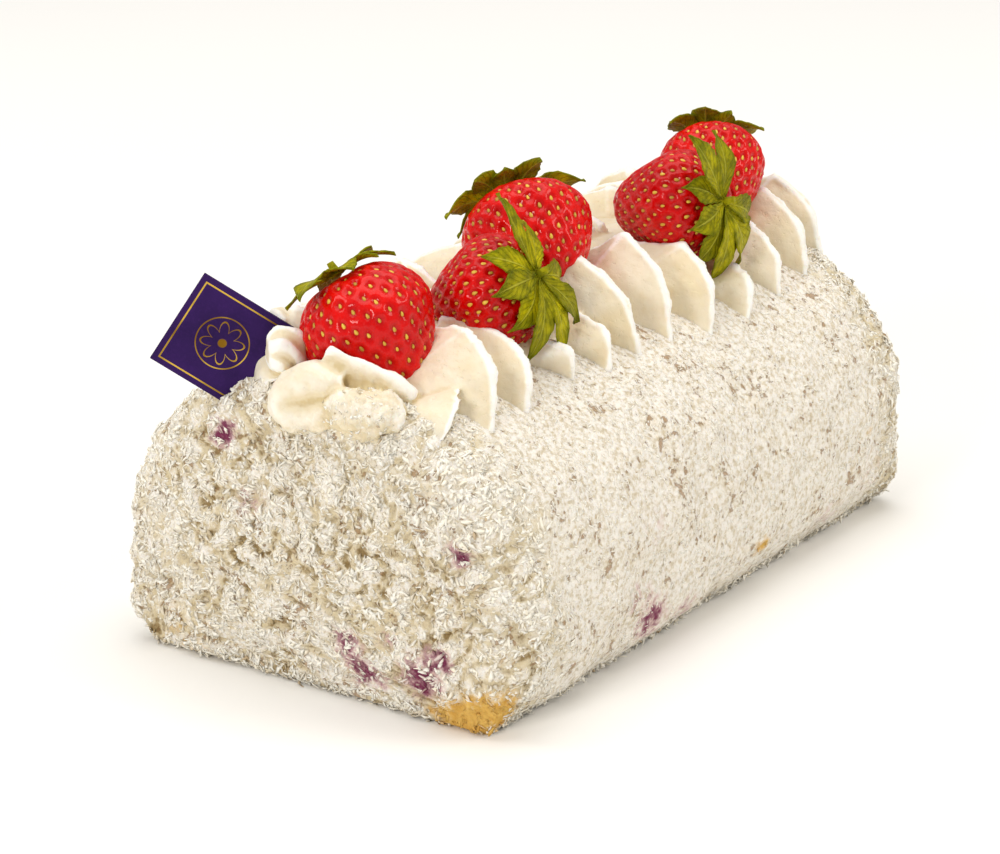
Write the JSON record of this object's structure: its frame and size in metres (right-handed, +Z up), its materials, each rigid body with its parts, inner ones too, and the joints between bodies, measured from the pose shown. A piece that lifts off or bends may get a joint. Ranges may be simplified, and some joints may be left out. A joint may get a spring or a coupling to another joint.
{
  "type": "swiss roll",
  "caption": "Whole swiss roll coated in shredded coconut, with a ruffled band of piped cream, strawberries along the top and a small square card.",
  "frame": {"origin": "middle of the roll's flat underside", "axes": "+X along the roll, away from the card; +Y towards the roll's back; +Z up"},
  "size_m": [0.2141, 0.1331, 0.1218],
  "materials": {
    "coconut": "rough",
    "cream": "satin",
    "berry_red": "gloss",
    "leaf_green": "matte",
    "card_violet": "satin"
  },
  "bodies": {
    "root": {"roll": "coconut", "piped_cream": "cream", "berry_1": "berry_red", "berry_2": "berry_red", "berry_3": "berry_red", "berry_4": "berry_red", "berry_5": "berry_red", "calyx_1": "leaf_green", "calyx_2": "leaf_green", "calyx_3": "leaf_green", "calyx_4": "leaf_green", "calyx_5": "leaf_green", "card": "card_violet"}
  },
  "joints": []
}
